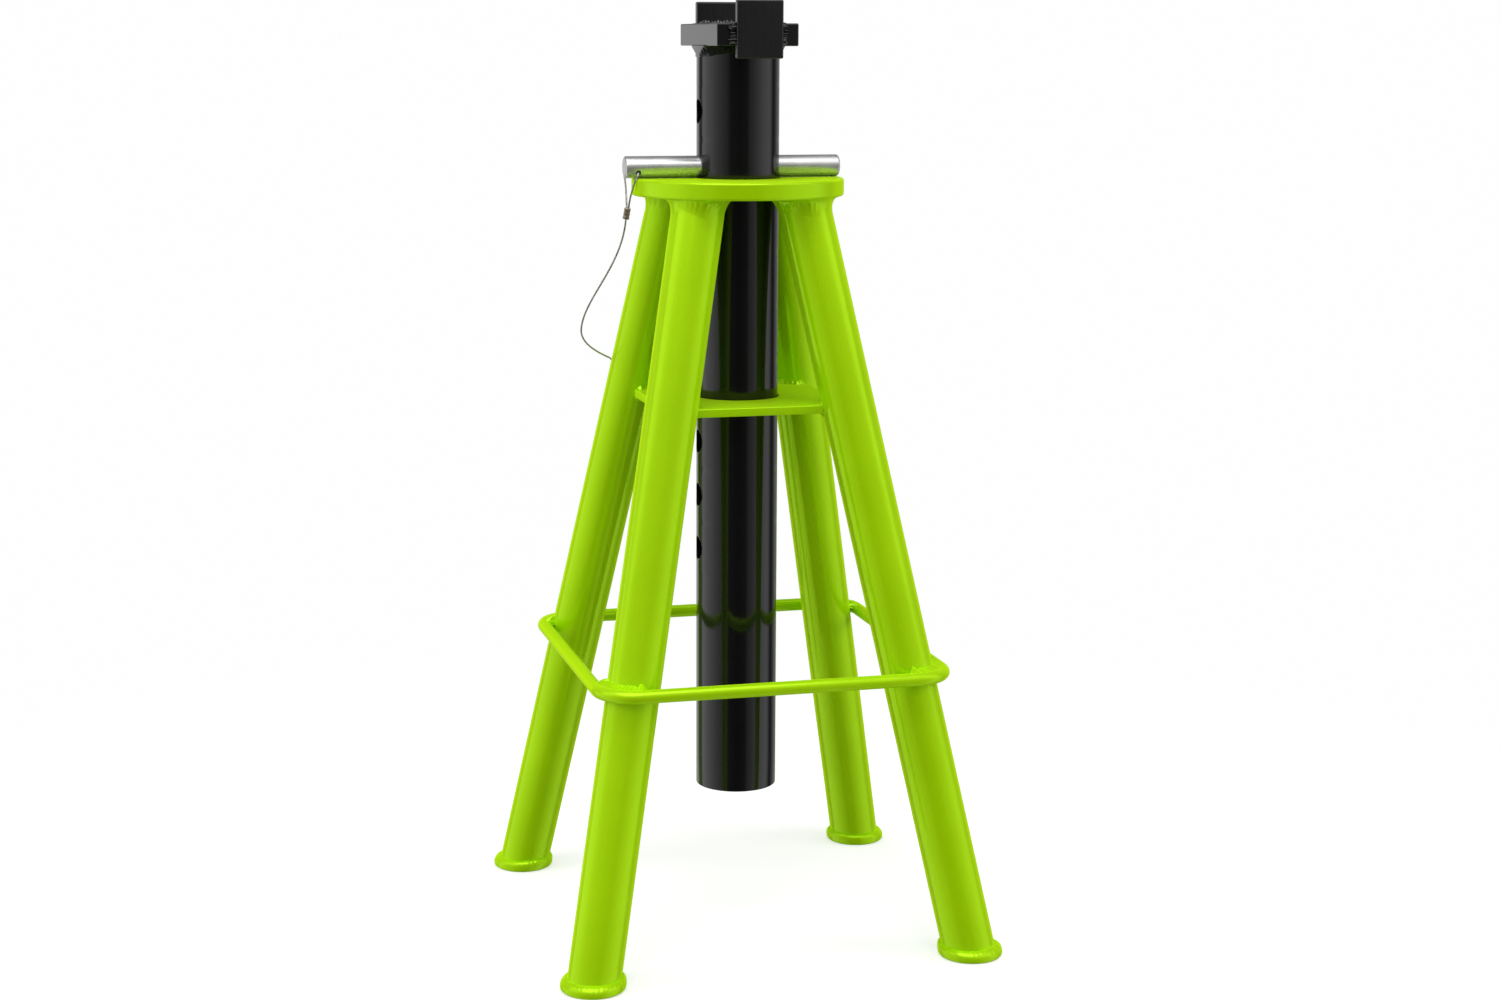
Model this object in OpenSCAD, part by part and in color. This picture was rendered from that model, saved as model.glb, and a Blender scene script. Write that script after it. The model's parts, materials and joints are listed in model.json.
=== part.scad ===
// Pin-type axle stand, four splayed tube legs, lifting post with a drop-in locking pin.
// Origin: centre of the footprint at floor level, on the post axis. +Z is up,
// X runs along the locking pin (the lanyard end is -X), -Y is the front.
// Units: millimetres. Drawn with the pin in the second hole from the top.

/* [Post] */
// Outside diameter of the lifting post
post_d = 76.1; // [70:0.1:80]
// Wall thickness of the lifting post
post_wall = 6; // [4:0.5:8]
// Length of the lifting post
post_len = 696; // [640:1:720]
// Number of pin holes down the post
hole_count = 9; // [7:1:9]
// Distance between neighbouring pin holes
hole_pitch = 50.8; // [48:0.1:52]
// Diameter of each pin hole
hole_d = 21.5; // [21.3:0.1:24]
// Distance from the top end of the post to its first hole
hole_top = 58.6; // [50:0.1:62]

/* [Legs] */
// Outside diameter of each leg tube
leg_d = 48.3; // [42:0.1:50]
// Wall thickness of each leg tube
leg_wall = 4; // [3:0.5:6]
// Distance of each leg axis from the centre planes, at floor level
foot_half = 177.3; // [170:0.1:185]
// Inward lean of each leg in each direction, per millimetre of height
leg_lean = 0.188; // [0.18:0.001:0.192]

/* [Plates] */
// Diameter of the top plate
plate_d = 196; // [190:1:210]
// Thickness of the top plate
plate_t = 16; // [12:1:18]
// Height of the top plate's upper face
plate_top = 704; // [700:1:706]
// Side of the square guide plate
guide_w = 170; // [166:1:172]
// Thickness of the guide plate
guide_t = 8; // [6:1:10]
// Height of the guide plate's upper face
guide_top = 502; // [490:1:510]
// Radial gap between the post and the two plates
guide_gap = 1; // [0.5:0.1:2]

/* [Hoop] */
// Diameter of the bent rod hoop
rod_d = 12.3; // [10:0.1:13]
// Half the hoop's side, to the middle of the rod
hoop_half = 161.5; // [161:0.1:163]
// Bend radius at the hoop's corners, to the middle of the rod
hoop_bend = 34; // [30:1:35]
// Height of the hoop
hoop_z = 259.5; // [255:0.5:262]

/* [Feet] */
// Diameter of each foot pad
pad_d = 58.4; // [56:0.1:64]
// Thickness of each foot pad
pad_t = 5; // [4:0.5:7]

/* [Saddle] */
// Width of the saddle bar, along the pin
cap_w = 75; // [74:1:80]
// Length of the saddle bar, across the pin
cap_l = 139; // [130:1:150]
// Thickness of the saddle bar
cap_t = 20; // [16:1:22]
// Width of each upright lip
lip_w = 42.6; // [36:0.2:46]
// Thickness of each upright lip
lip_t = 8; // [6:1:10]
// Height of each upright lip
lip_h = 51.5; // [46:0.5:54]
// How far each lip hangs below the saddle bar
lip_drop = 11; // [8:1:14]

/* [Pin and lanyard] */
// Diameter of the locking pin
pin_d = 20; // [18:0.5:20.5]
// Length of the locking pin
pin_len = 203; // [190:1:210]
// How far the pin's lanyard end is from the post axis
pin_left = 107; // [100:1:110]
// Diameter of the lanyard wire
wire_d = 1.7; // [1.2:0.1:2]

/* [Hidden] */
$fn = 72;
weld_gap = 0.05;      // clearance between a weld and the parts beside it
over = 1;             // how far a cutter runs past the face it cuts
pin_plate_gap = 0.2;  // between the pin and the top plate below it
pin_hole_gap = 0.15;  // between the pin and the top of its hole
plate_rim = 2.5;      // rounding of the top plate's rims
pad_rim = 1.5;
pin_rim = 2;

post_r = post_d/2;
leg_r = leg_d/2;
pin_r = pin_d/2;
guide_r = post_r + guide_gap;
plate_bot = plate_top - plate_t;
guide_bot = guide_top - guide_t;
bend_at = hoop_half - hoop_bend;   // bend centres, from the centre planes
pin_z = plate_top + pin_plate_gap + pin_r;
hole_z = pin_z + pin_r + pin_hole_gap - hole_d/2;  // the hole that the pin is in
post_topz = hole_z + hole_pitch + hole_top;
post_botz = post_topz - post_len;
cap_top = post_topz + cap_t;
lean = atan(leg_lean*sqrt(2));

front_left = [-1, -1];
front_right = [1, -1];
rear_left = [-1, 1];
rear_right = [1, 1];
CORNERS = [front_left, front_right, rear_left, rear_right];

green = [0.53, 0.78, 0.03];
black = [0.05, 0.05, 0.055];
steel = [0.75, 0.75, 0.76];
brass = [0.42, 0.36, 0.30];

// ---------- helpers ----------

// distance of the leg axes from the centre planes at height z
function leg_at(z) = foot_half - leg_lean*z;

// move children to a corner, `half` from both centre planes, at height z
module at_corner(corner, half, z)
    translate([corner.x*half, corner.y*half, z]) children();

// an overlong rod on a leg's axis
module leg_solid(corner, radius)
    at_corner(corner, foot_half, 0)
        rotate([0, 0, atan2(-corner.y, -corner.x)]) rotate([0, lean, 0])
            translate([0, 0, -60]) cylinder(r = radius, h = 860);

// everything between two heights
module slab(z0, z1)
    translate([-400, -400, z0]) cube([800, 800, z1 - z0]);

// a disc with rounded rims and a hole, standing on z = 0
module round_disc(radius, thick, hole, rim)
    rotate_extrude() union() {
        translate([hole, 0]) square([radius - rim - hole, thick]);
        translate([hole, rim]) square([radius - hole, thick - 2*rim]);
        translate([radius - rim, rim]) circle(rim, $fn = 48);
        translate([radius - rim, thick - rim]) circle(rim, $fn = 48);
    }

// a ring of round section about the Z axis
module bead(ring, radius, sweep = 360)
    rotate_extrude(angle = sweep) translate([ring, 0]) circle(radius, $fn = 32);

// a bar with its vertical edges rounded
module soft_bar(width, length, height, edge)
    union() {
        translate([-width/2 + edge, -length/2, 0]) cube([width - 2*edge, length, height]);
        translate([-width/2, -length/2 + edge, 0]) cube([width, length - 2*edge, height]);
        for (x = [-1, 1], y = [-1, 1])
            translate([x*(width/2 - edge), y*(length/2 - edge), 0])
                cylinder(r = edge, h = height, $fn = 32);
    }

function unit(v) = v/norm(v);

// a point on a cubic Bezier curve with four control points
function bezier(ctrl, t) =
    ctrl[0]*pow(1 - t, 3) + ctrl[1]*3*t*pow(1 - t, 2) + ctrl[2]*3*t*t*(1 - t) + ctrl[3]*t*t*t;
// points along the curve; skip = 1 leaves out the first, where it follows another curve
function curve(ctrl, steps, skip = 0) = [for (i = [skip:steps]) bezier(ctrl, i/steps)];

// lanyard wire along an open path; ref must not be parallel to the path
module wire(path, ref) {
    sides = 8;
    last = len(path) - 1;
    tangents = [for (i = [0:last]) unit(path[min(i + 1, last)] - path[max(i - 1, 0)])];
    points = [for (i = [0:last])
        let (u = unit(cross(tangents[i], ref)), v = cross(tangents[i], u))
        for (k = [0:sides - 1])
            path[i] + wire_d/2*(cos(360*k/sides)*u + sin(360*k/sides)*v)];
    faces = concat(
        [for (i = [0:last - 1], k = [0:sides - 1])
            let (next = (k + 1)%sides)
            [i*sides + k, i*sides + next, (i + 1)*sides + next, (i + 1)*sides + k]],
        [[for (k = [sides - 1:-1:0]) k]],
        [[for (k = [0:sides - 1]) last*sides + k]]);
    polyhedron(points = points, faces = faces, convexity = 6);
}

// put children, drawn along +Z, at one point and turn them towards another
module aim(from, to) {
    run = to - from;
    translate(from) rotate([0, acos(run.z/norm(run)), atan2(run.y, run.x)]) children();
}

// a bar of flat-sided oval section between two points
module sleeve(from, to, width, thick)
    aim(from, to) linear_extrude(norm(to - from)) union() {
        square([thick, width - thick], center = true);
        for (side = [-1, 1])
            translate([0, side*(width - thick)/2]) circle(thick/2, $fn = 32);
    }

// ---------- base frame ----------

module top_plate() color(green)
    translate([0, 0, plate_bot]) round_disc(plate_d/2, plate_t, guide_r, plate_rim);

module leg(corner) color(green)
    intersection() {
        difference() {
            leg_solid(corner, leg_r);
            leg_solid(corner, leg_r - leg_wall);
        }
        slab(pad_t, plate_bot);
    }
module leg_front_left() leg(front_left);
module leg_front_right() leg(front_right);
module leg_rear_left() leg(rear_left);
module leg_rear_right() leg(rear_right);

module foot_pad(corner) color(green)
    at_corner(corner, foot_half, 0) round_disc(pad_d/2, pad_t, 0, pad_rim);
module foot_pad_front_left() foot_pad(front_left);
module foot_pad_front_right() foot_pad(front_right);
module foot_pad_rear_left() foot_pad(rear_left);
module foot_pad_rear_right() foot_pad(rear_right);

// square plate around the post, its corners cut round to sit against the legs
module guide_plate() color(green) {
    corner_cut = 60;   // side of the block that takes off each corner
    difference() {
        translate([-guide_w/2, -guide_w/2, guide_bot]) cube([guide_w, guide_w, guide_t]);
        translate([0, 0, guide_bot - over]) cylinder(r = guide_r, h = guide_t + 2*over);
        for (corner = CORNERS) {
            leg_solid(corner, leg_r + weld_gap);
            at_corner(corner, leg_at(guide_top) + corner_cut/2, guide_bot - over)
                cube([corner_cut, corner_cut, 4*guide_t], center = true);
        }
    }
}

// round rod bent to a square with rounded corners, outside the legs
module lower_hoop() color(green)
    translate([0, 0, hoop_z])
        for (turn = [0:90:270]) rotate([0, 0, turn]) {
            translate([hoop_half, bend_at, 0]) rotate([90, 0, 0])
                cylinder(d = rod_d, h = 2*bend_at, $fn = 48);
            translate([bend_at, bend_at, 0])
                rotate_extrude(angle = 90) translate([hoop_bend, 0]) circle(d = rod_d, $fn = 48);
        }

// flared fillet welds between the leg tops and the underside of the top plate
module leg_top_welds() color(green) {
    flare_h = 12;
    trim_h = 18;   // height of the ring that the flares are trimmed to
    for (corner = CORNERS)
        intersection() {
            difference() {
                at_corner(corner, leg_at(plate_bot - 4), plate_bot - flare_h)
                    cylinder(r1 = leg_r + 0.6, r2 = leg_r + 8, h = flare_h);
                leg_solid(corner, leg_r + weld_gap);
            }
            difference() {
                translate([0, 0, plate_bot - trim_h])
                    cylinder(r = plate_d/2 - plate_rim, h = trim_h);
                translate([0, 0, plate_bot - trim_h - over])
                    cylinder(r = guide_r + 0.4, h = trim_h + 2*over);
            }
        }
}

// beads above and below the guide plate, against each leg
module guide_plate_welds() color(green) {
    inset = 0.5;   // from the plate's edges
    trim_h = 20;
    for (corner = CORNERS, above = [false, true])
        intersection() {
            difference() {
                at_corner(corner, leg_at(guide_top), above ? guide_top : guide_bot)
                    bead(leg_r + 0.8, 3.6);
                leg_solid(corner, leg_r + weld_gap);
            }
            translate([-guide_w/2 + inset, -guide_w/2 + inset,
                       above ? guide_top : guide_bot - trim_h])
                cube([guide_w - 2*inset, guide_w - 2*inset, trim_h]);
        }
}

// beads on top of the hoop, between the rod and each leg
module hoop_welds() color(green) {
    sweep = 84;
    inward = 6.5;  // from the middle of the rod
    raise = 5;     // above the middle of the rod
    for (corner = CORNERS)
        difference() {
            at_corner(corner, bend_at, hoop_z + raise)
                rotate([0, 0, atan2(corner.y, corner.x) - sweep/2])
                    bead(hoop_bend - inward, 3.2, sweep);
            leg_solid(corner, leg_r + weld_gap);
            at_corner(corner, bend_at, hoop_z)
                rotate_extrude() translate([hoop_bend, 0])
                    circle(d = rod_d + 2*weld_gap, $fn = 48);
        }
}

// rounded bead around each leg where it stands on its pad
module foot_welds() color(green) {
    bead_r = 3.7;
    outward = 0.6;  // bead centre, out from the leg's surface
    inward = 4;     // how far the filling reaches inside the leg's surface
    for (corner = CORNERS)
        intersection() {
            difference() {
                at_corner(corner, leg_at(pad_t + 2), pad_t + 1.6)
                    rotate_extrude() union() {
                        translate([leg_r + outward, 0]) circle(bead_r, $fn = 32);
                        translate([leg_r - inward, -bead_r])
                            square([inward + outward, 2*bead_r]);
                    }
                leg_solid(corner, leg_r + weld_gap);
            }
            slab(pad_t, pad_t + 20);
        }
}

// ---------- lifting post ----------

module post_tube() color(black)
    difference() {
        translate([0, 0, post_botz]) cylinder(r = post_r, h = post_len);
        translate([0, 0, post_botz - over])
            cylinder(r = post_r - post_wall, h = post_len + 2*over);
        for (i = [0:hole_count - 1])
            translate([-post_d, 0, post_topz - hole_top - i*hole_pitch]) rotate([0, 90, 0])
                cylinder(d = hole_d, h = 2*post_d, $fn = 48);
    }

// children, drawn at the rear, at the front and the rear
module both_ends()
    for (flip = [0, 1]) mirror([0, flip, 0]) children();

// block along the bar's rear upper edge: its bevel under the lip weld
module weld_bevel(width, side)
    translate([0, cap_l/2, cap_top]) rotate([45, 0, 0])
        cube([width, side, side], center = true);

module saddle_bar() color(black)
    difference() {
        translate([0, 0, post_topz]) soft_bar(cap_w, cap_l, cap_t, 1.2);
        both_ends() weld_bevel(lip_w - 3, 5.8);
    }

module saddle_lip() color(black)
    translate([0, (cap_l + lip_t)/2, post_topz - lip_drop]) rotate([90, 0, 0])
        translate([0, lip_h/2, -lip_t/2]) soft_bar(lip_w, lip_h, lip_t, 1.5);
module saddle_lip_rear() saddle_lip();
module saddle_lip_front() mirror([0, 1, 0]) saddle_lip();

// fillet between the top of the post and the underside of the bar
module saddle_post_weld() color(black) {
    fillet_h = 10;
    overhang = 2;   // past each long side of the bar
    intersection() {
        difference() {
            translate([0, 0, post_topz - fillet_h])
                cylinder(r1 = post_r - 0.5, r2 = post_r + 8, h = fillet_h);
            translate([0, 0, post_topz - fillet_h - over])
                cylinder(r = post_r + weld_gap, h = fillet_h + 2*over);
        }
        translate([-cap_w/2 - overhang, -cap_l/2, post_topz - fillet_h])
            cube([cap_w + 2*overhang, cap_l, fillet_h]);
    }
}

// upright bead beside the rear lip; side is -1 (left) or 1 (right)
module lip_side_bead(side)
    difference() {
        translate([side*(lip_w/2 + 1), cap_l/2 + 1, post_topz + 1])
            cylinder(r = 4.5, h = cap_t - 1.5, $fn = 32);
        translate([-lip_w/2 - weld_gap, cap_l/2, post_topz - lip_drop])
            cube([lip_w + 2*weld_gap, lip_t, lip_h]);
        translate([-cap_w/2, -cap_l/2 + weld_gap, post_topz]) cube([cap_w, cap_l, cap_t]);
    }

// bead along the rear lip's inner face, filling the bar's bevel
module lip_inner_bead() {
    end_gap = 2;
    trim = 20;
    intersection() {
        translate([-lip_w/2 + end_gap, cap_l/2, cap_top]) rotate([0, 90, 0])
            cylinder(r = 3.5, h = lip_w - 2*end_gap, $fn = 32);
        translate([-cap_w/2, cap_l/2 - weld_gap - trim, cap_top - trim/2])
            cube([cap_w, trim, trim]);
        union() {
            translate([-cap_w/2, cap_l/2 - trim, cap_top + weld_gap]) cube([cap_w, trim, trim]);
            weld_bevel(lip_w - 3.4, 5.6);
        }
    }
}

module saddle_lip_welds() color(black)
    both_ends() {
        for (side = [-1, 1]) lip_side_bead(side);
        lip_inner_bead();
    }

// ---------- locking pin and upper end of the lanyard ----------

ferrule_w = 6;
ferrule_t = 3.9;
pocket_t = 2.2;     // thickness of the pockets where wire enters a ferrule
pocket_run = 0.12;  // depth of the pockets, as a share of the ferrule's length

// cross hole for the lanyard; its front end points down by tie_dip
tie_x = -pin_left + 11.5;
tie_dip = 29;
tie_d = 5;
tie_reach = (pin_r + 1.2)*[0, cos(tie_dip), sin(tie_dip)];
tie_front = [tie_x, 0, pin_z] - tie_reach;
tie_back = [tie_x, 0, pin_z] + tie_reach;

// ends of the ferrule below the pin
pin_ferrule_top = [-103.6, 1, 677];
pin_ferrule_bot = [-105.2, 2.2, 667];

module locking_pin() color(steel)
    difference() {
        translate([-pin_left, 0, pin_z]) rotate([0, 90, 0]) rotate_extrude() union() {
            square([pin_r - pin_rim, pin_len]);
            translate([0, pin_rim]) square([pin_r, pin_len - 2*pin_rim]);
            translate([pin_r - pin_rim, pin_rim]) circle(pin_rim, $fn = 48);
            translate([pin_r - pin_rim, pin_len - pin_rim]) circle(pin_rim, $fn = 48);
        }
        translate([tie_x, 0, pin_z]) rotate([-90 + tie_dip, 0, 0]) translate([0, 0, -pin_d])
            cylinder(d = tie_d, h = 2*pin_d, $fn = 32);
    }

// up the front of the pin, through the cross hole and down behind
module lanyard_pin_loop() color(steel) {
    hole_run = [0, 2.5, 1.4];
    behind = [-104.2, 11, pin_z - 10];
    wire(concat(
        curve([pin_ferrule_top + [0.9, 0.2, -1], pin_ferrule_top + [1.2, -1, 10],
               tie_front + [-5.3, -6, -6.8], tie_front + [-0.2, -0.2, 0]], 12),
        curve([tie_front, tie_front + hole_run, tie_back - hole_run, tie_back], 6, 1),
        curve([tie_back, tie_back + [-1, 6, 3], [-105, 17, pin_z - 2], behind], 12, 1),
        curve([behind, [-103.8, 7.5, pin_z - 16],
               pin_ferrule_top + [-0.9, 1.5, 12], pin_ferrule_top + [-0.9, -0.2, -1]], 10, 1)
    ), [1, 0.05, 0]);
}

module lanyard_pin_ferrule() color(brass) {
    run = pin_ferrule_bot - pin_ferrule_top;
    lift = [0, 0, 0.01];   // carries each pocket just past the end face
    difference() {
        sleeve(pin_ferrule_top, pin_ferrule_bot, ferrule_w, ferrule_t);
        sleeve(pin_ferrule_top + lift, pin_ferrule_top + run*pocket_run, 4.6, pocket_t);
        sleeve(pin_ferrule_bot - run*pocket_run, pin_ferrule_bot - lift, 2.4, pocket_t);
    }
}

// ---------- lower end of the lanyard, on the back of the rear left leg ----------

eye_z = 521;
eye_r = 5;                            // ring radius, to the middle of its rod
eye_rod_r = 2;
eye_out = unit([0.3, 0.95, 0]);       // from the leg's axis to the eye
eye_c = [-leg_at(eye_z), leg_at(eye_z), eye_z] + eye_out*(leg_r + 5.3);
eye_limb = eye_c + eye_out*eye_r;     // outermost point of the ring
eye_along = unit([-0.98, -0.12, 0.10]);  // from the eye to the ferrule
ferrule_near = 12;                    // ferrule ends, along from the limb
ferrule_far = 22;

// a point placed from the eye's outer limb
function from_limb(out, along) = eye_limb + eye_out*out + eye_along*along;
function limb_curve(table, steps, skip = 0) =
    curve([for (row = table) from_limb(row[0], row[1])], steps, skip);

anchor_near = from_limb(0, ferrule_near);
anchor_far = from_limb(0, ferrule_far);

module lanyard_anchor_eye() color(green)
    difference() {
        translate(eye_c) rotate([0, 0, atan2(eye_out.y, eye_out.x)]) rotate([90, 0, 0])
            bead(eye_r, eye_rod_r);
        leg_solid(rear_left, leg_r + weld_gap);
    }

// out of the ferrule, round the eye's outer limb and back; rows are [out, along]
module lanyard_anchor_loop() color(steel)
    wire(concat(
        limb_curve([[-0.9, ferrule_near + 1], [-1.5, ferrule_near - 4], [-4, 6], [-4, 0]], 10),
        limb_curve([[-4, 0], [-4, -5.4], [4, -5.4], [4, 0]], 12, 1),
        limb_curve([[4, 0], [4, 6], [1.5, ferrule_near - 4], [0.9, ferrule_near + 1]], 10, 1)
    ), [0, 0, 1]);

module lanyard_anchor_ferrule() color(brass) {
    run = anchor_near - anchor_far;
    difference() {
        sleeve(anchor_far, anchor_near, ferrule_w, ferrule_t);
        aim(anchor_near - run*pocket_run, anchor_near)
            linear_extrude(3) square([pocket_t, 4.6], center = true);
        aim(anchor_far - run*0.1, anchor_far) cylinder(r = 1.2, h = 2.2, $fn = 24);
    }
}

// the free run of the wire: out to the left, down, and round behind the leg
module lanyard_cable() color(steel) {
    sag_side = [-138, 50, 562];
    sag_back = [-104, 91, 529.5];
    wire(concat(
        curve([pin_ferrule_bot + [0.1, -0.1, 0.8], pin_ferrule_bot + [-1.5, 8, -44],
               [-137, 40, 592], sag_side], 22),
        curve([sag_side, [-138.4, 54, 549], [-121, 74, 538], sag_back], 14, 1),
        curve([sag_back, [-97, 98, 526],
               anchor_far + eye_along*9, anchor_far - eye_along*0.8], 10, 1)
    ), [1, -0.1, 0.9]);
}

top_plate();
leg_front_left();
leg_front_right();
leg_rear_left();
leg_rear_right();
foot_pad_front_left();
foot_pad_front_right();
foot_pad_rear_left();
foot_pad_rear_right();
guide_plate();
lower_hoop();
leg_top_welds();
guide_plate_welds();
hoop_welds();
foot_welds();
post_tube();
saddle_bar();
saddle_lip_front();
saddle_lip_rear();
saddle_post_weld();
saddle_lip_welds();
locking_pin();
lanyard_pin_loop();
lanyard_pin_ferrule();
lanyard_cable();
lanyard_anchor_ferrule();
lanyard_anchor_loop();
lanyard_anchor_eye();
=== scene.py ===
"""A welded support stand with a height-adjustable post.

Four splayed tube legs on round pads carry a round top plate, a square guide plate and a bent rod
hoop. A drilled post slides through both plates along the Z axis and ends in a saddle. A pin along
X locks it, and hangs from the rear left leg on a wire lanyard.
Metres, Z up, the floor at z = 0. The front is -Y and the left is -X.
"""

import json
import math

import bmesh
import bpy
import numpy as np
from mathutils import Matrix, Vector

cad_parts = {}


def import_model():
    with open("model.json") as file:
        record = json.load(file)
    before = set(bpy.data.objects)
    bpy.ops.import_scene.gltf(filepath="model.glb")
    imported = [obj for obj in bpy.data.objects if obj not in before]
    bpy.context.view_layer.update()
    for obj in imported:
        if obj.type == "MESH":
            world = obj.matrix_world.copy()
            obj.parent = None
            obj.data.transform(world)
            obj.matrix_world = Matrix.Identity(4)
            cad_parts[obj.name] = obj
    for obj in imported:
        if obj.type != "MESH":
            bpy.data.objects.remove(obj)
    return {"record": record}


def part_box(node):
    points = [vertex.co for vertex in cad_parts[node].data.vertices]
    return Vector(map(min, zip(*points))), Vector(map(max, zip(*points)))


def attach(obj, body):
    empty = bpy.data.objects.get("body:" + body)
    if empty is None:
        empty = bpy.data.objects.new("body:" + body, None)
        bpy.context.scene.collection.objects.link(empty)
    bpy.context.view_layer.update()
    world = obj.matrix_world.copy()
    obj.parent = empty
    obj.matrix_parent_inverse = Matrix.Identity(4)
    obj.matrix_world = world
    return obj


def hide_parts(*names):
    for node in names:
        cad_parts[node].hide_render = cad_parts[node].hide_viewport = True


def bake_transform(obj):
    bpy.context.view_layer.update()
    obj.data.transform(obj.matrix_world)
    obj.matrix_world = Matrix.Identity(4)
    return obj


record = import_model()["record"]
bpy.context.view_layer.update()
MM = 0.001
TAU = 2 * math.pi
UP = np.array([0, 0, 1.0])


# ------------------------------------------------------------------ curves

def wave(x, seed, n=5, lo=1, hi=9):
    """A smooth repeatable wobble of an angle, about -1..1, periodic over a turn."""
    draw = np.random.default_rng(seed)
    cycles = draw.integers(lo, hi + 1, n)
    phase = draw.uniform(0, TAU, n)
    size = draw.uniform(0.5, 1.0, n)
    x = np.asarray(x, float)
    return sum(size[i] * np.sin(cycles[i] * x + phase[i]) for i in range(n)) / size.sum() * 1.6


def mm(*values):
    return np.array(values, float) * MM


def around(count):
    """Evenly spaced angles over one turn."""
    return np.arange(count) * TAU / count


def unit(v):
    v = np.asarray(v, float)
    return v / np.linalg.norm(v, axis=-1, keepdims=True)


def bezier(controls, t):
    """Points at t on a Bezier curve, or on one curve per row when the controls are rows."""
    points = [np.asarray(p, float)[..., None, :] for p in controls]
    t = np.asarray(t, float)[:, None]
    while len(points) > 1:
        points = [p * (1 - t) + q * t for p, q in zip(points, points[1:])]
    return points[0]


def chain(*curves):
    """One path from (point count, controls) curves, leaving out each later curve's first point."""
    runs = [bezier(controls, np.linspace(0, 1, count)) for count, controls in curves]
    return np.concatenate(runs[:1] + [run[1:] for run in runs[1:]])


def corner(cx, cy, radius, start, end, n=5):
    """Points on an arc, angles in degrees."""
    return [(cx + radius * math.cos(math.radians(a)), cy + radius * math.sin(math.radians(a)))
            for a in np.linspace(start, end, n)]


def four_fold(quarter):
    """Repeats (x, y) points by quarter turns about the origin."""
    quarter = np.array(quarter)
    turned = []
    for a in np.arange(4) * math.pi / 2:
        turn = np.array([[math.cos(a), -math.sin(a)], [math.sin(a), math.cos(a)]])
        turned.append(quarter @ turn.T)
    return np.concatenate(turned)


def support(profile, closed=True):
    """Adds points near the ends of a profile's long straights, so that shading stays flat."""
    gap, limit = 0.35 * MM, 1.6 * MM
    out = []
    for a, b in zip(profile, profile[1:] + (profile[:1] if closed else [])):
        a, b = np.array(a, float), np.array(b, float)
        length = np.linalg.norm(b - a)
        out.append(a)
        if length > limit:
            out += [a + (b - a) * gap / length, b - (b - a) * gap / length]
    if not closed:
        out.append(profile[-1])
    return out


def frames(path, closed=False, ref=None):
    """Twist-free frames along a path: tangents and two normals."""
    p = np.asarray(path, float)
    if closed:
        tangent = unit(np.roll(p, -1, 0) - np.roll(p, 1, 0))
    else:
        tangent = unit(np.vstack([p[1] - p[0], p[2:] - p[:-2], p[-1] - p[-2]]))
    normals = [unit(np.cross(tangent[0], ref if ref is not None else (0.31, 0.17, 0.94)))]
    for t in tangent[1:]:
        last = normals[-1]
        normals.append(unit(last - t * np.dot(last, t)))
    normals = np.array(normals)
    return tangent, normals, np.cross(tangent, normals)


def resample(path, step):
    """Even points along a path, and their distances from its start."""
    p = np.asarray(path, float)
    steps = np.linalg.norm(np.diff(p, axis=0), axis=1)
    distance = np.concatenate([[0], np.cumsum(steps)])
    count = max(3, int(round(distance[-1] / step)) + 1)
    along = np.linspace(0, distance[-1], count)
    return np.stack([np.interp(along, distance, p[:, i]) for i in range(3)], 1), along


# ------------------------------------------------------------------ shapes: (vertices, faces)

def skin(rows, closed_rows=False, closed_cols=True):
    """Quads over a (rows, columns) grid of points. A tube open at its ends is capped."""
    rows = np.asarray(rows, float)
    n, m = rows.shape[:2]
    faces = []
    for i in range(n if closed_rows else n - 1):
        a, b = i * m, ((i + 1) % n) * m
        for j in range(m if closed_cols else m - 1):
            k = (j + 1) % m
            faces.append((a + j, a + k, b + k, b + j))
    if closed_cols and not closed_rows:
        faces.append(tuple(range(m - 1, -1, -1)))
        faces.append(tuple(range((n - 1) * m, n * m)))
    return rows.reshape(-1, 3), faces


def join(parts):
    verts, faces, count = [], [], 0
    for part_verts, part_faces in parts:
        verts.append(np.asarray(part_verts, float))
        faces += [tuple(i + count for i in face) for face in part_faces]
        count += len(part_verts)
    return np.concatenate(verts), faces


def lathe(profile, seg, centre=(0, 0, 0), wobble=None, along_x=False):
    """Turns a closed (radius, height) profile about Z or X. wobble(angles, radius) adds to it."""
    profile = np.array(profile, float)
    turn = around(seg)
    rows = np.zeros((seg, len(profile), 3))
    for j, (radius, height) in enumerate(profile):
        ring = np.full(seg, radius)
        if wobble is not None:
            ring = ring + wobble(turn, radius)
        rows[:, j, 0] = ring * np.cos(turn)
        rows[:, j, 1] = ring * np.sin(turn)
        rows[:, j, 2] = height
    if along_x:
        rows = rows[:, :, [2, 0, 1]]
    return skin(rows + np.array(centre, float), closed_rows=True)


def rod(path, radius, sides=16, closed=False, ref=None):
    """A round rod along a path."""
    _, u, v = frames(path, closed, ref)
    a = around(sides)[None, :, None]
    rows = np.asarray(path, float)[:, None, :] + radius * (
        np.cos(a) * u[:, None, :] + np.sin(a) * v[:, None, :])
    return skin(rows, closed_rows=closed)


def block(lo, hi, radius):
    """A box with evenly rounded edges."""
    bm = bmesh.new()
    bmesh.ops.create_cube(bm, size=1.0)
    lo, hi = np.array(lo, float), np.array(hi, float)
    for vert in bm.verts:
        vert.co = Vector((lo + (np.array(vert.co) + 0.5) * (hi - lo)))
    bmesh.ops.bevel(bm, geom=bm.edges[:], offset=radius, segments=5, profile=0.5,
                    affect="EDGES", clamp_overlap=True)
    bm.verts.ensure_lookup_table()
    verts = np.array([vert.co[:] for vert in bm.verts])
    faces = [tuple(vert.index for vert in face.verts) for face in bm.faces]
    bm.free()
    return verts, faces


WIRE_R = 0.85 * MM
WIRE_LAY = 8.5 * MM  # length in which a strand goes once round


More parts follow.
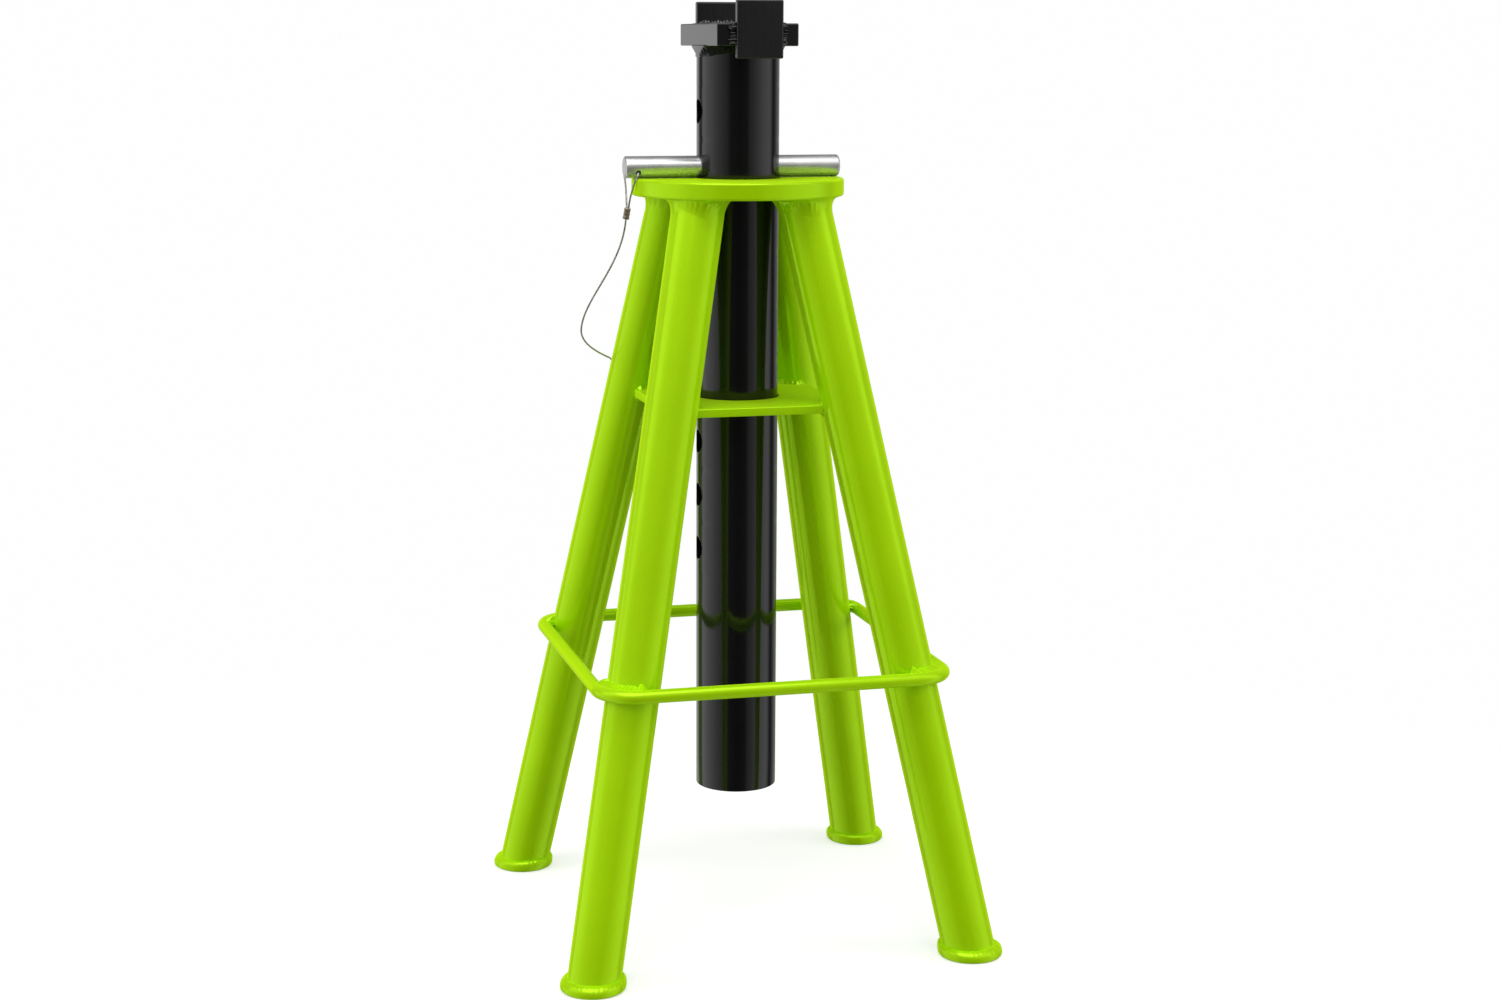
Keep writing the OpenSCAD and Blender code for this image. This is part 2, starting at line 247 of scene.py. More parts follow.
def rope(path):
    """A stranded wire: six strands laid round a core."""
    p, along = resample(path, 0.7 * MM)
    _, u, v = frames(p)
    strand_r = WIRE_R / 3
    parts = [rod(p, strand_r * 1.05, 6)]
    for k in range(6):
        a = (along / WIRE_LAY * TAU + k * TAU / 6)[:, None]
        parts.append(rod(p + 2 * strand_r * (np.cos(a) * u + np.sin(a) * v), strand_r * 1.06, 6))
    return join(parts)


def crimp(start, end, seed, side):
    """A pressed oval sleeve with rolled rims and two crimp bands, wide along side."""
    wide, thick = 6.0 * MM, 3.9 * MM
    axis = unit(end - start)
    length = np.linalg.norm(end - start)
    side = unit(side - axis * np.dot(side, axis))
    up = np.cross(axis, side)
    turn = around(40)
    # (scale of the section, distance from the end)
    rim = [(0.30, 0.5 * MM), (0.62, 0.25 * MM), (0.84, 0.0), (0.96, 0.25 * MM), (1.0, 0.8 * MM)]
    far_rim = [(scale, length - s) for scale, s in reversed(rim)]

    def band(x, centre):
        return 0.13 * math.exp(-((x - centre) / 0.085) ** 2)

    middle = [(1.0 - band(x, 0.33) - band(x, 0.67), x * length) for x in np.linspace(0.12, 0.88, 22)]
    wobble = 1 + 0.02 * wave(turn, seed, lo=2, hi=6)
    oval_x, oval_y = (np.sign(c) * np.abs(c) ** 0.8 * wobble for c in (np.cos(turn), np.sin(turn)))
    rows = []
    for scale, s in rim + middle + far_rim:
        x = oval_x * wide / 2 * (0.35 + 0.65 * scale)
        y = oval_y * thick / 2 * scale
        rows.append(start + axis * s + side * x[:, None] + up * y[:, None])
    return skin(rows)


# ------------------------------------------------------------------ weld shapes

def scallops(along, across, pitch, bow=0.5):
    """Crescent ripples, 0..1, over (along, across), bowed by a share of the pitch."""
    return np.sin(np.pi * ((along[:, None] / pitch + bow * (2 * across - 1) ** 2) % 1.0)) ** 2


def blunt(u, power, tip):
    """Rounds off the ends of a bead: 1 along it, down to tip at u = -1 and 1."""
    return np.sqrt(np.clip(1 - np.abs(u) ** power, 0, 1)) * (1 - tip) + tip


def weld(section, buried, closed=True):
    """Skins a weld's outer section, closed by a line buried in the parts it joins."""
    return skin(np.concatenate([section, buried[:, None]], 1), closed_rows=closed)


def fillet(a, b, buried, bulge, n, along, pitch, ripple, seed):
    """A weld with blunt ends. a and b are its toes on the two surfaces, buried the corner
    between them. A positive bulge stands proud of the straight line from a to b."""
    t = np.linspace(0, 1, n)
    middle = (a + b) / 2
    outward = middle - buried
    length = np.linalg.norm(outward, axis=1, keepdims=True)
    control = middle + outward * np.broadcast_to(bulge, (len(a),))[:, None]
    push = (ripple * (scallops(along, t, pitch, bow=0.45) - 0.5)
            * (1 + 0.35 * wave(along[:, None] * 40, seed, lo=1, hi=5)))
    section = bezier((a, control, b), t) + (outward / np.maximum(length, 1e-9))[:, None] * (
        np.sin(np.pi * t) ** 0.7 * push)[..., None]
    return weld(section, buried, closed=False)


def flare(controls, outward, along, pitch, ripple):
    """Section of a hollow weld under a flat face, rippled along its length."""
    t = np.linspace(0, 1, 12)
    push = ripple * np.sin(np.pi * t) * scallops(along, t, pitch)
    return bezier(controls, t) + unit(outward - UP)[:, None, :] * push[..., None]


def bead(start, end, radius, seed, n=70):
    """A lumpy straight run of weld."""
    start, end = np.array(start, float), np.array(end, float)
    t = np.linspace(0, 1, n)
    path = start + (end - start) * t[:, None]
    size = blunt(2 * t - 1, 8, 0.05)
    _, u, v = frames(path, ref=(0.3, 0.9, 0.2))
    length = np.linalg.norm(end - start)
    a = around(14)
    rows = []
    for i in range(n):
        s = t[i] * length
        ripple = np.sin(np.pi * ((s / (3.0 * MM) + 0.1 * math.sin(seed)) % 1.0)) ** 2
        r = radius * size[i] * (0.86 + 0.20 * ripple
                                + 0.16 * wave(a + 1.08 * s / radius, seed + 1, lo=1, hi=4)
                                + 0.10 * wave(t[i] * 9, seed + 2))
        drift_u, drift_v = (radius * 0.18 * wave(t[i] * 6, seed + k) for k in (3, 4))
        rows.append(path[i] + drift_u * u[i] + drift_v * v[i]
                    + r[:, None] * (np.cos(a)[:, None] * u[i] + np.sin(a)[:, None] * v[i]))
    return skin(rows)


# ------------------------------------------------------------------ objects

def link_object(name, mesh):
    obj = bpy.data.objects.new(name, mesh)
    bpy.context.scene.collection.objects.link(obj)
    return obj


def shade(mesh, angle):
    """Smooth shading, with edges sharper than the angle in degrees kept."""
    mesh.shade_smooth()
    mesh.set_sharp_from_angle(angle=math.radians(angle))


def make(name, shape, node, slot, material, body=None, angle=38.0, merge=1e-6):
    """An object that stands in for a CAD node and rides on a body, if one is given."""
    verts, faces = shape
    mesh = bpy.data.meshes.new(name)
    mesh.from_pydata([tuple(v) for v in np.asarray(verts, float)], [], faces)
    bm = bmesh.new()
    bm.from_mesh(mesh)
    if merge:
        bmesh.ops.remove_doubles(bm, verts=bm.verts, dist=merge)
    bmesh.ops.dissolve_degenerate(bm, edges=bm.edges, dist=1e-7)
    bmesh.ops.recalc_face_normals(bm, faces=bm.faces)
    bm.to_mesh(mesh)
    bm.free()
    mesh.update()
    shade(mesh, angle)
    obj = link_object(name, mesh)
    mesh.materials.append(material)
    if body:
        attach(obj, body)
    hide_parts(node)
    return obj


# ------------------------------------------------------------------ materials

class Shader:
    """A node tree, with short calls for the nodes used here."""

    def __init__(self, tree):
        self.tree = tree
        tree.nodes.clear()

    def node(self, kind):
        return self.tree.nodes.new("ShaderNode" + kind)

    def feed(self, value, socket):
        """Links an output to a socket, or sets the socket to a number or a colour."""
        if isinstance(value, (int, float)):
            socket.default_value = value
        elif isinstance(value, tuple):
            socket.default_value = (*value, 1)
        else:
            self.tree.links.new(value, socket)

    def noise(self, scale, detail=3.0, roughness=0.5, stretch=None):
        vector = self.coords
        if stretch:
            mapping = self.node("Mapping")
            mapping.inputs["Scale"].default_value = stretch
            self.feed(vector, mapping.inputs[0])
            vector = mapping.outputs[0]
        noise = self.node("TexNoise")
        noise.inputs["Scale"].default_value = scale
        noise.inputs["Detail"].default_value = detail
        noise.inputs["Roughness"].default_value = roughness
        self.feed(vector, noise.inputs["Vector"])
        return noise.outputs["Fac"]

    def cells(self, scale):
        voronoi = self.node("TexVoronoi")
        voronoi.inputs["Scale"].default_value = scale
        self.feed(self.coords, voronoi.inputs["Vector"])
        return voronoi.outputs["Distance"]

    def ramp(self, source, stops):
        """stops: (position, colour or grey level)."""
        ramp = self.node("ValToRGB")
        elements = ramp.color_ramp.elements
        while len(elements) < len(stops):
            elements.new(0.5)
        for element, (position, colour) in zip(elements, stops):
            element.position = position
            element.color = (*colour, 1) if hasattr(colour, "__len__") else (*[colour] * 3, 1)
        self.feed(source, ramp.inputs[0])
        return ramp.outputs[0]

    def remap(self, source, span, to=(0.0, 1.0), smooth=False):
        """Maps the span of values, clamped, onto another."""
        remap = self.node("MapRange")
        if smooth:
            remap.interpolation_type = "SMOOTHSTEP"
        for socket, value in zip(remap.inputs[1:5], (*span, *to)):
            socket.default_value = value
        self.feed(source, remap.inputs[0])
        return remap.outputs[0]

    def math(self, operation, *values):
        node = self.node("Math")
        node.operation = operation
        for socket, value in zip(node.inputs, values):
            self.feed(value, socket)
        return node.outputs[0]

    def mix(self, factor, a, b):
        node = self.node("Mix")
        node.data_type = "RGBA"
        for i, value in ((0, factor), (6, a), (7, b)):
            self.feed(value, node.inputs[i])
        return node.outputs[2]

    def bump(self, height, strength, distance, normal=None):
        node = self.node("Bump")
        node.inputs["Strength"].default_value = strength
        node.inputs["Distance"].default_value = distance
        self.feed(height, node.inputs["Height"])
        if normal is not None:
            self.feed(normal, node.inputs["Normal"])
        return node.outputs[0]


class Surface(Shader):
    """A material with one principled shader, its textures in object coordinates."""

    def __init__(self, name):
        self.material = bpy.data.materials.new(name)
        self.material.use_nodes = True
        super().__init__(self.material.node_tree)
        output = self.node("OutputMaterial")
        self.principled = self.node("BsdfPrincipled")
        self.feed(self.principled.outputs[0], output.inputs[0])
        self.coords = self.node("TexCoord").outputs["Object"]

    def set(self, name, value):
        self.feed(value, self.principled.inputs[name])


def green_paint():
    s = Surface("green_paint")
    tone = s.noise(scale=9.0, roughness=0.55)
    colour = s.ramp(tone, [(0.30, (0.392, 0.722, 0.0012)), (0.70, (0.434, 0.786, 0.0020))])
    # painted shade darkens the creases, and a painted highlight makes the edges paler
    pointiness = s.node("NewGeometry").outputs["Pointiness"]
    # painted shade: darker colour in creases
    painted_crease_shade = s.remap(pointiness, span=(0.40, 0.50), to=(1.0, 0.0))
    colour = s.mix(s.math("MULTIPLY", painted_crease_shade, 0.55), colour, (0.150, 0.300, 0.0003))
    # painted highlight: paler colour on sharp edges
    edge = s.remap(pointiness, span=(0.53, 0.62), to=(0.0, 0.25))
    colour = s.mix(edge, colour, (0.44, 0.76, 0.004))
    # faint dark specks in scattered patches
    speck = s.remap(s.cells(scale=420.0), span=(0.02, 0.06), to=(0.18, 0.0))
    patch = s.remap(s.noise(scale=60.0, detail=2.0), span=(0.60, 0.66))
    colour = s.mix(s.math("MULTIPLY", speck, patch), colour, (0.20, 0.38, 0.001))
    # painted sheen: the colour is paler where the surface turns away from the eye, and it is less
    # glossy there
    weight = s.node("LayerWeight")
    weight.inputs["Blend"].default_value = 0.5
    facing = weight.outputs["Facing"]
    # painted sheen: paler base colour at glancing angles
    glancing_sheen = s.remap(facing, span=(0.40, 0.74), to=(0.0, 0.6))
    s.set("Base Color", s.mix(glancing_sheen, colour, (0.58, 0.93, 0.016)))
    smear = s.noise(scale=55.0, detail=4.0, roughness=0.6)
    s.set("Roughness", s.remap(smear, span=(0.3, 0.7), to=(0.11, 0.18)))
    s.set("Specular IOR Level", s.remap(facing, span=(0.15, 0.62), to=(0.30, 0.0)))
    s.set("Specular Tint", (0.9, 1.0, 0.35))
    s.set("Metallic", 0.20)
    peel = s.noise(scale=230.0, detail=2.0)
    fine = s.noise(scale=900.0, detail=1.0)
    normal = s.bump(peel, strength=0.16, distance=0.0006)
    s.set("Normal", s.bump(fine, strength=0.05, distance=0.0002, normal=normal))
    return s.material


def black_surface(name, brushed=0.0, specular=0.5):
    """Black paint. brushed makes it greyer, duller and more streaked."""
    s = Surface(name)
    tone = s.noise(scale=14.0, roughness=0.55)
    grey = 1 + 1.6 * brushed
    dark = (0.0028 * grey, 0.0028 * grey, 0.0031 * grey)
    light = (0.0044 * grey, 0.0044 * grey, 0.0049 * grey)
    colour = s.ramp(tone, [(0.3, dark), (0.7, light)])
    pointiness = s.node("NewGeometry").outputs["Pointiness"]
    # painted highlight: paler colour on sharp edges
    edge = s.remap(pointiness, span=(0.54, 0.64), to=(0.0, 0.5))
    s.set("Base Color", s.mix(edge, colour, (0.035, 0.035, 0.037)))
    streak = s.noise(scale=1.0, detail=4.0, roughness=0.6, stretch=(900.0, 900.0, 14.0))
    smear = s.noise(scale=45.0, roughness=0.6)
    smear = s.remap(smear, span=(0.3, 0.7), to=(0.055 + 0.22 * brushed, 0.085 + 0.28 * brushed))
    dull = s.remap(streak, span=(0.35, 0.65), to=(0.0, 0.03 + 0.12 * brushed))
    s.set("Roughness", s.math("ADD", smear, dull))
    s.set("Specular IOR Level", specular)
    normal = s.bump(s.noise(scale=200.0, detail=2.0),
                    strength=0.04 + 0.3 * (0.5 - specular), distance=0.0005)
    s.set("Normal", s.bump(streak, strength=0.05 + 0.30 * brushed, distance=0.00012, normal=normal))
    return s


def black_weld():
    """Black weld metal: shiny where it faces along X, dull elsewhere."""
    s = black_surface("black_weld", brushed=0.2, specular=0.06)
    geometry = s.node("NewGeometry")
    normal = s.node("SeparateXYZ")
    s.feed(geometry.outputs["Normal"], normal.inputs[0])
    facing_x = s.math("ABSOLUTE", normal.outputs[0])
    s.set("Specular IOR Level", s.remap(facing_x, span=(0.72, 0.92), to=(0.05, 0.5)))
    return s.material


def pin_steel():
    """Bright steel with turning marks round it and fine scratches along it."""
    s = Surface("pin_steel")
    turning = s.noise(scale=1.0, roughness=0.6, stretch=(3200.0, 12.0, 12.0))
    scratch = s.noise(scale=1.0, roughness=0.55, stretch=(9.0, 1500.0, 1500.0))
    cloud = s.noise(scale=40.0, detail=4.0, roughness=0.6)
    s.set("Base Color", s.ramp(cloud, [(0.3, (0.48, 0.48, 0.485)), (0.7, (0.57, 0.57, 0.575))]))
    s.set("Metallic", 0.80)
    s.set("Roughness", s.math("ADD", s.remap(cloud, span=(0.3, 0.7), to=(0.24, 0.29)),
                              s.remap(scratch, span=(0.4, 0.7), to=(0.0, 0.05))))
    normal = s.bump(turning, strength=0.10, distance=0.00006)
    s.set("Normal", s.bump(scratch, strength=0.12, distance=0.00008, normal=normal))
    return s.material


def wire_steel():
    s = Surface("wire_steel")
    tone = s.noise(scale=700.0)
    s.set("Base Color", s.ramp(tone, [(0.3, (0.30, 0.29, 0.27)), (0.7, (0.52, 0.51, 0.49))]))
    s.set("Metallic", 1.0)
    s.set("Roughness", s.remap(tone, span=(0.3, 0.7), to=(0.30, 0.45)))
    grain = s.noise(scale=2500.0, detail=2.0)
    s.set("Normal", s.bump(grain, strength=0.2, distance=0.00005))
    return s.material


def ferrule_metal():
    s = Surface("ferrule_metal")
    tone = s.noise(scale=260.0, detail=4.0, roughness=0.6)
    s.set("Base Color", s.ramp(tone, [(0.3, (0.20, 0.155, 0.12)), (0.7, (0.40, 0.33, 0.27))]))
    s.set("Metallic", 0.85)
    s.set("Roughness", s.remap(tone, span=(0.3, 0.7), to=(0.36, 0.55)))
    s.set("Normal", s.bump(s.noise(scale=1400.0), strength=0.35, distance=0.0001))
    return s.material


# what make() needs for each finish
GREEN = dict(body="base", slot="green_paint", material=green_paint())
BLACK = dict(body="post", slot="black_paint", material=black_surface("black_paint").material)
SATIN = dict(BLACK, material=black_surface("black_satin", brushed=0.45).material)
BLACK_WELD = dict(BLACK, material=black_weld())
STEEL = dict(body="pin", slot="pin_steel", material=pin_steel())
WIRE = dict(slot="wire_steel", material=wire_steel(), merge=0)
FERRULE = dict(slot="ferrule_metal", material=ferrule_metal(), angle=50)

# ------------------------------------------------------------------ driving sizes, from the frame

plate_lo, plate_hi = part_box("top_plate")
PLATE_R, PLATE_Z0, PLATE_Z1 = (plate_hi.x - plate_lo.x) / 2, plate_lo.z, plate_hi.z
post_lo, post_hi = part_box("post_tube")
POST_R, POST_Z0, POST_Z1 = (post_hi.x - post_lo.x) / 2, post_lo.z, post_hi.z
POST_INNER_R = POST_R - 6.0 * MM
BORE_R = POST_R + 1.0 * MM  # holes of both plates
top_hole = next(m for m in record["mounts"] if m["name"] == "spare_pin_hole")
HOLE_R, HOLE_Z = top_hole["dims"]["r_mm"] * MM, top_hole["pos_m"][2]
PITCH, HOLES = 50.8 * MM, 9
guide_lo, guide_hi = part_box("guide_plate")
GUIDE_HALF, GUIDE_Z0, GUIDE_Z1 = guide_hi.x, guide_lo.z, guide_hi.z
hoop_lo, hoop_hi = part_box("lower_hoop")
HOOP_ROD_R, HOOP_Z = (hoop_hi.z - hoop_lo.z) / 2, (hoop_hi.z + hoop_lo.z) / 2
HOOP_HALF = hoop_hi.x - HOOP_ROD_R  # centre line
HOOP_BEND_R = 34 * MM
BAR_LO, BAR_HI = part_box("saddle_bar")
pin_lo, pin_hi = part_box("locking_pin")
PIN_R, PIN_X0, PIN_X1 = (pin_hi.z - pin_lo.z) / 2, pin_lo.x, pin_hi.x
PIN_LEVEL = UP * (pin_hi.z + pin_lo.z) / 2


class Leg:
    """A tube leaning in towards the Z axis, equally in X and Y."""

    def __init__(self, name, side_x, side_y):
        self.name, self.side_x, self.side_y = name, side_x, side_y
        lo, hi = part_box("leg_" + name)
        pad_lo, pad_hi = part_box("foot_pad_" + name)
        self.offset = abs((pad_lo.x + pad_hi.x) / 2)  # in X and in Y, at the floor
        self.foot = np.array([side_x * self.offset, side_y * self.offset, 0])
        self.pad_r, self.pad_t = (pad_hi.x - pad_lo.x) / 2, pad_hi.z
        far, near = max(abs(lo.x), abs(hi.x)), min(abs(lo.x), abs(hi.x))
        self.z0, self.z1 = lo.z, hi.z
        self.lean = (2 * self.offset - far - near) / (self.z0 + self.z1)
        self.radius = (far - self.offset + self.lean * self.z0) / math.sqrt(1 + self.lean ** 2)
        tilt = math.atan(self.lean * math.sqrt(2))
        self.out = np.array([side_x, side_y, 0]) / math.sqrt(2)
        # square to the tube: outward, and level
        self.normal = math.cos(tilt) * self.out + math.sin(tilt) * UP
        self.level = np.cross([0, 0, 1], self.out)

    def axis(self, z):
        z = np.asarray(z, float)
        a = self.offset - self.lean * z
        return np.stack([self.side_x * a, self.side_y * a, z], -1)

    def surface(self, turn, z, inset=0.0):
        """The tube's surface at a turn (0 faces outward) and height, or a point inset from it."""
        r = self.radius - inset
        turn, z = np.broadcast_arrays(np.asarray(turn, float), np.asarray(z, float))
        c, s = np.cos(turn), np.sin(turn)
        return (self.axis(z - r * c * self.normal[2])
                + r * (c[..., None] * self.normal + s[..., None] * self.level))

    def outward(self, turn):
        """Level direction away from the tube at a turn."""
        return np.cos(turn)[:, None] * self.out + np.sin(turn)[:, None] * self.level


LEGS = [Leg("front_left", -1, -1), Leg("front_right", 1, -1),
        Leg("rear_left", -1, 1), Leg("rear_right", 1, 1)]
REAR_LEFT, REAR_RIGHT = LEGS[2:]


# ------------------------------------------------------------------ base

def top_plate():
    """A disc with a bore, its rim slightly uneven."""
    rim, lip = 2.3 * MM, 1.2 * MM  # edge roundings, outside and at the bore
    profile = (corner(PLATE_R - rim, PLATE_Z0 + rim, rim, -90, 0, 6)
               + corner(PLATE_R - rim, PLATE_Z1 - rim, rim, 0, 90, 6)
               + corner(BORE_R + lip, PLATE_Z1 - lip, lip, 90, 180)
               + corner(BORE_R + lip, PLATE_Z0 + lip, lip, 180, 270))

    def wobble(turn, radius):
        if radius < PLATE_R - 6 * MM:
            return 0
        return 0.16 * MM * wave(turn, 3, n=6, lo=5, hi=23)

    make("top_plate_painted", lathe(support(profile), 192, wobble=wobble), "top_plate", **GREEN)


def legs():
    """Tubes cut level at both ends."""
    wall = 4 * MM
    turn = around(96)
    for leg in LEGS:
        height = leg.z1 - leg.z0
        columns = [leg.surface(turn, leg.z0 + s * height) for s in np.linspace(0, 1, 44)]
        columns += [leg.surface(turn, leg.z0 + s * height, wall) for s in np.linspace(1, 0, 8)]
        make(f"leg_{leg.name}_painted", skin(np.stack(columns, 1), closed_rows=True),
             "leg_" + leg.name, **GREEN)


def foot_pads():
    """Discs with a rounded rim."""
    edge = 2.35 * MM
    for i, leg in enumerate(LEGS):
        flat, t = leg.pad_r - edge, leg.pad_t
        profile = ([(0, 0), (flat - 0.6 * MM, 0)] + corner(flat, edge, edge, -90, 0, 6)
                   + corner(flat, t - edge, edge, 0, 90, 6) + [(flat - 1 * MM, t), (0, t)])

        def wobble(turn, radius):
            return 0.12 * MM * (wave(turn, 20 + i, lo=2, hi=8) - 1) if radius > 20 * MM else 0

        make(f"foot_pad_{leg.name}_painted",
             lathe(support(profile, closed=False), 96, leg.foot, wobble),
             "foot_pad_" + leg.name, **GREEN)


def foot_beads():
    """Fat rounded welds between each tube and its pad."""
    parts = []
    turn = around(200)
    t = np.linspace(0, 1, 14)
    for i, leg in enumerate(LEGS):
        lump = wave(turn, 40 + i, n=7, lo=4, hi=17)
        swell = wave(turn, 50 + i, n=4, lo=1, hi=4)
        out = leg.outward(turn)
        top_z = leg.pad_t + (5.7 + 0.5 * swell + 0.35 * lump) * MM
        belly = leg.pad_r + (1.5 + 0.35 * swell + 0.35 * lump) * MM
        controls = (
            leg.surface(turn, top_z, 0.3 * MM),
            leg.surface(turn, top_z) + out * (3.3 + 0.4 * lump[:, None]) * MM + UP * 0.5 * MM,
            leg.foot + out * belly[:, None] + UP * (leg.pad_t + 2.5 * MM),
            leg.foot + out * (leg.pad_r + 0.05 * MM) + UP * 1.7 * MM)
        push = (0.34 * MM * np.sin(np.pi * t) * (scallops(turn * leg.pad_r, t, 4.6 * MM) - 0.4)
                * (0.7 + 0.5 * swell[:, None]))
        section = bezier(controls, t) + unit(out + 0.9 * UP)[:, None, :] * push[..., None]
        parts.append(weld(section, leg.surface(turn, leg.pad_t - 2.4 * MM, 0.8 * MM)))
    make("foot_beads", join(parts), "foot_welds", angle=60, **GREEN)


def leg_top_fillets():
    """Flared welds from the legs to the underside of the top plate."""
    parts = []
    turn = around(260)
    for i, leg in enumerate(LEGS):
        swell = wave(turn, 60 + i, n=4, lo=2, hi=6)
        lump = wave(turn, 70 + i, n=6, lo=6, hi=20)
        root = leg.surface(turn, PLATE_Z0)
        out = leg.outward(turn)
        # the width is cut back where it would leave the plate or reach the post, then smoothed
        width = 8.8 * MM + 1.3 * MM * swell + 0.7 * MM * lump
        for j in range(len(turn)):
            w = width[j]
            while w > 0.4 * MM and not (POST_R + 1.6 * MM
                                        < np.hypot(*(root[j, :2] + out[j, :2] * w))
                                        < PLATE_R - 1.0 * MM):
                w -= 0.1 * MM
            width[j] = w
        for _ in range(6):
            width = (np.roll(width, 1) + 2 * width + np.roll(width, -1)) / 4
        height = np.maximum(6 * MM, np.minimum(15.5 * MM, 6.0 * MM + 1.05 * width))
        height = height + (1.2 * swell + 0.8 * lump) * MM
        controls = (leg.surface(turn, PLATE_Z0 - height, 0.05 * MM),
                    root + out * 0.9 * MM - UP * 1.2 * MM,
                    root + out * width[:, None] + UP * 0.15 * MM)
        section = flare(controls, out, turn * (leg.radius + 4 * MM), pitch=5.2 * MM,
                        ripple=0.45 * MM * (0.6 + 0.4 * swell[:, None]))
        parts.append(weld(section, leg.surface(turn, PLATE_Z0 + 1.2 * MM, 1.5 * MM)))
    make("leg_top_fillets", join(parts), "leg_top_welds", angle=70, **GREEN)


def guide_outline():
    """A square whose corners are cut by arcs round the legs."""
    leg = REAR_RIGHT
    centre = leg.offset - leg.lean * (GUIDE_Z0 + GUIDE_Z1) / 2
    cut_r = leg.radius * (1 + leg.lean ** 2 / 2) + 0.15 * MM
    y_end = centre - math.sqrt(cut_r ** 2 - (GUIDE_HALF - centre) ** 2)
    start = math.atan2(y_end - centre, GUIDE_HALF - centre)
    side = [(GUIDE_HALF, y) for y in np.linspace(-y_end, y_end, 40)[:-1]]
    arc = [(centre + cut_r * math.cos(a), centre + cut_r * math.sin(a))
           for a in np.linspace(start, -1.5 * math.pi - start, 30)[:-1]]
    return four_fold(side + arc)


def guide_plate():
    """A plate of rings of quads from the bore to the outline, down the edge and back."""
    edge, lip = 1.3 * MM, 0.8 * MM  # edge roundings, outside and at the bore
    gap = 0.35 * MM
    outline = guide_outline()
    reach = np.hypot(outline[:, 0], outline[:, 1])
    out = outline / reach[:, None]
    inner, outer = BORE_R + lip, reach - edge
    spread = (0.02, 0.3, 0.6, 0.9)
    rings = corner(inner, GUIDE_Z0 + lip, lip, 270, 180) + corner(inner, GUIDE_Z1 - lip, lip, 180, 90)
    rings += [(inner + s * (outer - inner), GUIDE_Z1) for s in spread]
    rings += [(outer - gap, GUIDE_Z1)]
    rings += [(outer + x, z) for x, z in corner(0, GUIDE_Z1 - edge, edge, 90, 0, 6)
              + corner(0, GUIDE_Z0 + edge, edge, 0, -90, 6)]
    rings += [(outer - gap, GUIDE_Z0)]
    rings += [(inner + s * (outer - inner), GUIDE_Z0) for s in reversed(spread)]
    columns = [np.concatenate([out * np.broadcast_to(radius, reach.shape)[:, None],
                               np.full((len(reach), 1), z)], 1) for radius, z in rings]
    make("guide_plate_painted", skin(np.stack(columns, 1), closed_rows=True), "guide_plate", **GREEN)


def guide_plate_beads():
    """Beads above and below the guide plate, against the inner side of each leg."""
    parts = []
    turn = np.linspace(math.pi - 0.80, math.pi + 0.80, 110)
    size = blunt(np.linspace(-1, 1, 110), 7, 0.02)
    for i, leg in enumerate(LEGS):
        out = leg.outward(turn)
        for up, z in ((1, GUIDE_Z1), (-1, GUIDE_Z0)):
            lump = wave(turn * 2.2, 90 + i * 2 + up, n=6, lo=3, hi=14)
            width = (3.4 + 0.5 * lump) * MM * size
            height = (4.0 + 0.5 * wave(turn * 2, 110 + i * 2 + up, lo=2, hi=9)) * MM * size
            parts.append(fillet(
                leg.surface(turn, z + up * height, 0.2 * MM),
                leg.surface(turn, z) + out * (width + 0.2 * MM)[:, None] - UP * up * 0.25 * MM,
                leg.surface(turn, z - up * 1.6 * MM, 1.2 * MM), bulge=0.05, n=9,
                along=turn * leg.radius, pitch=3.9 * MM, ripple=0.34 * MM, seed=130 + i))
    make("guide_plate_beads", join(parts), "guide_plate_welds", angle=60, **GREEN)


def hoop():
    """A square of round rod with bent corners."""
    straight = HOOP_HALF - HOOP_BEND_R
    quarter = [(HOOP_HALF, y) for y in np.linspace(-straight, straight, 14)[:-1]]
    quarter += [(straight + HOOP_BEND_R * math.cos(a), straight + HOOP_BEND_R * math.sin(a))
                for a in np.linspace(0, math.pi / 2, 18)[:-1]]
    path = [(x, y, HOOP_Z) for x, y in four_fold(quarter)]
    make("lower_hoop_painted", rod(path, HOOP_ROD_R, 32, closed=True, ref=(0, 0, 1)),
         "lower_hoop", **GREEN)


def hoop_beads():
    """Beads on top of the hoop's bends, against the outer side of each leg."""
    parts = []
    u = np.linspace(-1, 1, 120)
    size = blunt(u, 6, 0.03)
    ends = np.exp(-((np.abs(u) - 0.84) / 0.09) ** 2)  # a swelling near each end
    for i, leg in enumerate(LEGS):
        turn = u * math.radians(57 + 2 * math.sin(3.1 * i))
        centre = np.array([leg.side_x, leg.side_y, 0]) * (HOOP_HALF - HOOP_BEND_R) + UP * HOOP_Z
        # past 45 degrees the rod runs straight
        reach = HOOP_BEND_R / np.cos(np.maximum(np.abs(turn) - math.pi / 4, 0))
        lump = wave(turn * 5, 150 + i, n=6, lo=2, hi=9)
        out = leg.outward(turn)
        height = (6.6 + 0.8 * lump + 3.4 * ends) * MM * size
        rise = (HOOP_ROD_R - 0.4 * MM) * (0.72 + 0.28 * size)
        parts.append(fillet(
            leg.surface(turn, HOOP_Z + 1.5 * MM + height, 0.3 * MM),
            centre + out * (reach + (0.9 + 0.8 * lump) * MM)[:, None] + UP * rise[:, None],
            centre + out * (reach - HOOP_ROD_R * (0.6 + 0.3 * size))[:, None] + UP * 1.0 * MM,
            bulge=0.06 + 0.30 * ends, n=10,
            along=turn * HOOP_BEND_R, pitch=4.4 * MM, ripple=0.50 * MM, seed=170 + i))
    make("hoop_beads", join(parts), "hoop_welds", angle=60, **GREEN)


# ------------------------------------------------------------------ post and saddle

